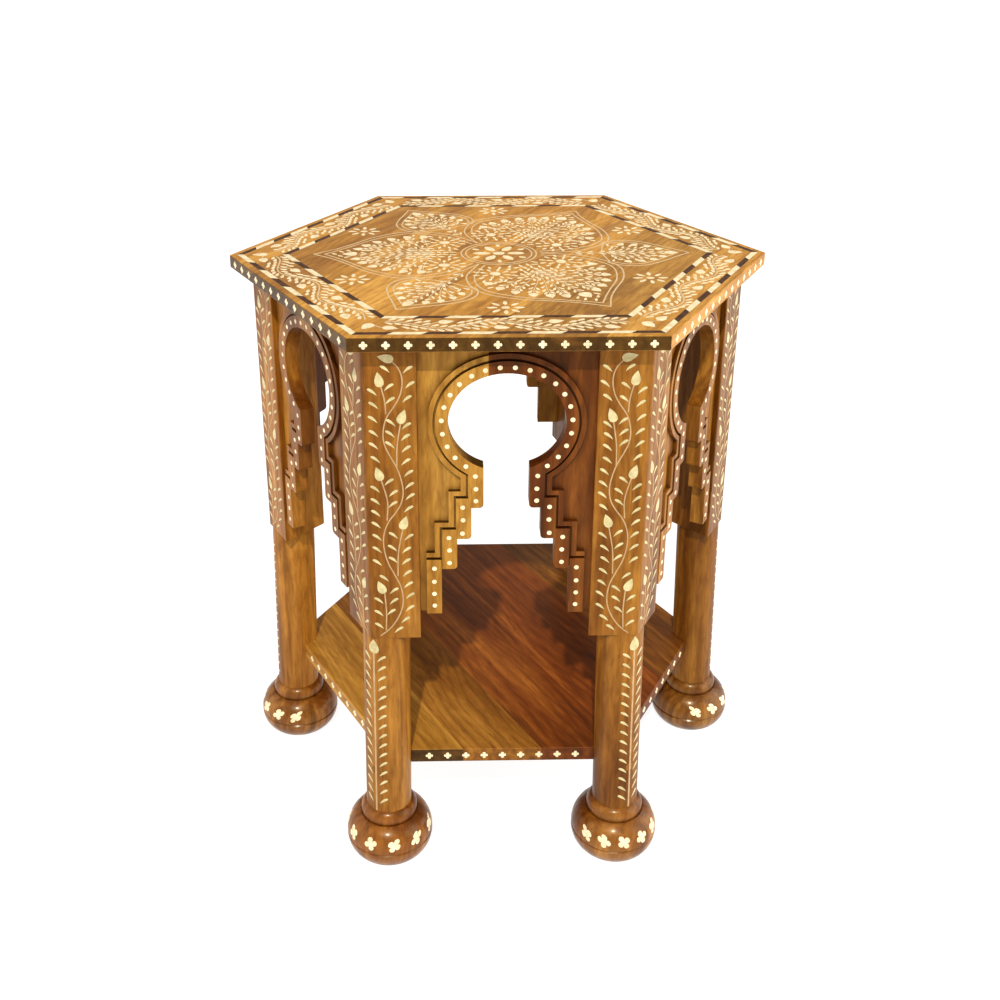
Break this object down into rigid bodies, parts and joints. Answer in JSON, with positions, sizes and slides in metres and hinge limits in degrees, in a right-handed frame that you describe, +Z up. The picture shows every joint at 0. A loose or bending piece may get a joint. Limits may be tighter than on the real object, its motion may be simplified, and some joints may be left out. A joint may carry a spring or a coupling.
{
  "type": "hexagonal inlaid stool",
  "caption": "Hexagonal side stool with an inlaid top, keyhole arch panels between turned legs, a low shelf and ball feet.",
  "frame": {"origin": "on the floor, under the centre of the hexagonal top", "axes": "+Z up; -Y out of the front side; +X through the corner between the two right sides"},
  "size_m": [0.5298, 0.4702, 0.556],
  "materials": {
    "top_wood": "satin varnish",
    "leg_wood": "satin varnish",
    "foot_wood": "satin varnish",
    "panel_wood": "satin varnish",
    "shelf_wood": "satin varnish",
    "dowel_wood": "plain",
    "ebony": "satin varnish",
    "bone": "polished bone",
    "steel": "zinc plated"
  },
  "bodies": {
    "root": {"top_board_1": "top_wood", "top_board_2": "top_wood", "top_board_3": "top_wood", "top_board_4": "top_wood", "top_board_5": "top_wood", "top_board_6": "top_wood", "outer_ring_bone_strips": "bone", "outer_ring_ebony_strips": "ebony", "inner_ring_bone_strips": "bone", "inner_ring_ebony_strips": "ebony", "right_leg": "leg_wood", "right_foot": "foot_wood", "back_right_leg": "leg_wood", "back_right_foot": "foot_wood", "back_left_leg": "leg_wood", "back_left_foot": "foot_wood", "left_leg": "leg_wood", "left_foot": "foot_wood", "front_left_leg": "leg_wood", "front_left_foot": "foot_wood", "front_right_leg": "leg_wood", "front_right_foot": "foot_wood", "front_panel_left_board": "panel_wood", "front_panel_right_board": "panel_wood", "front_right_panel_left_board": "panel_wood", "front_right_panel_right_board": "panel_wood", "back_right_panel_left_board": "panel_wood", "back_right_panel_right_board": "panel_wood", "back_panel_left_board": "panel_wood", "back_panel_right_board": "panel_wood", "back_left_panel_left_board": "panel_wood", "back_left_panel_right_board": "panel_wood", "front_left_panel_left_board": "panel_wood", "front_left_panel_right_board": "panel_wood", "shelf_board_1": "shelf_wood", "shelf_board_2": "shelf_wood", "shelf_board_3": "shelf_wood", "shelf_board_4": "shelf_wood", "shelf_board_5": "shelf_wood", "leg_dowels": "dowel_wood", "panel_dowels": "dowel_wood", "shelf_screws": "steel", "screw_plugs": "foot_wood"}
  },
  "joints": []
}
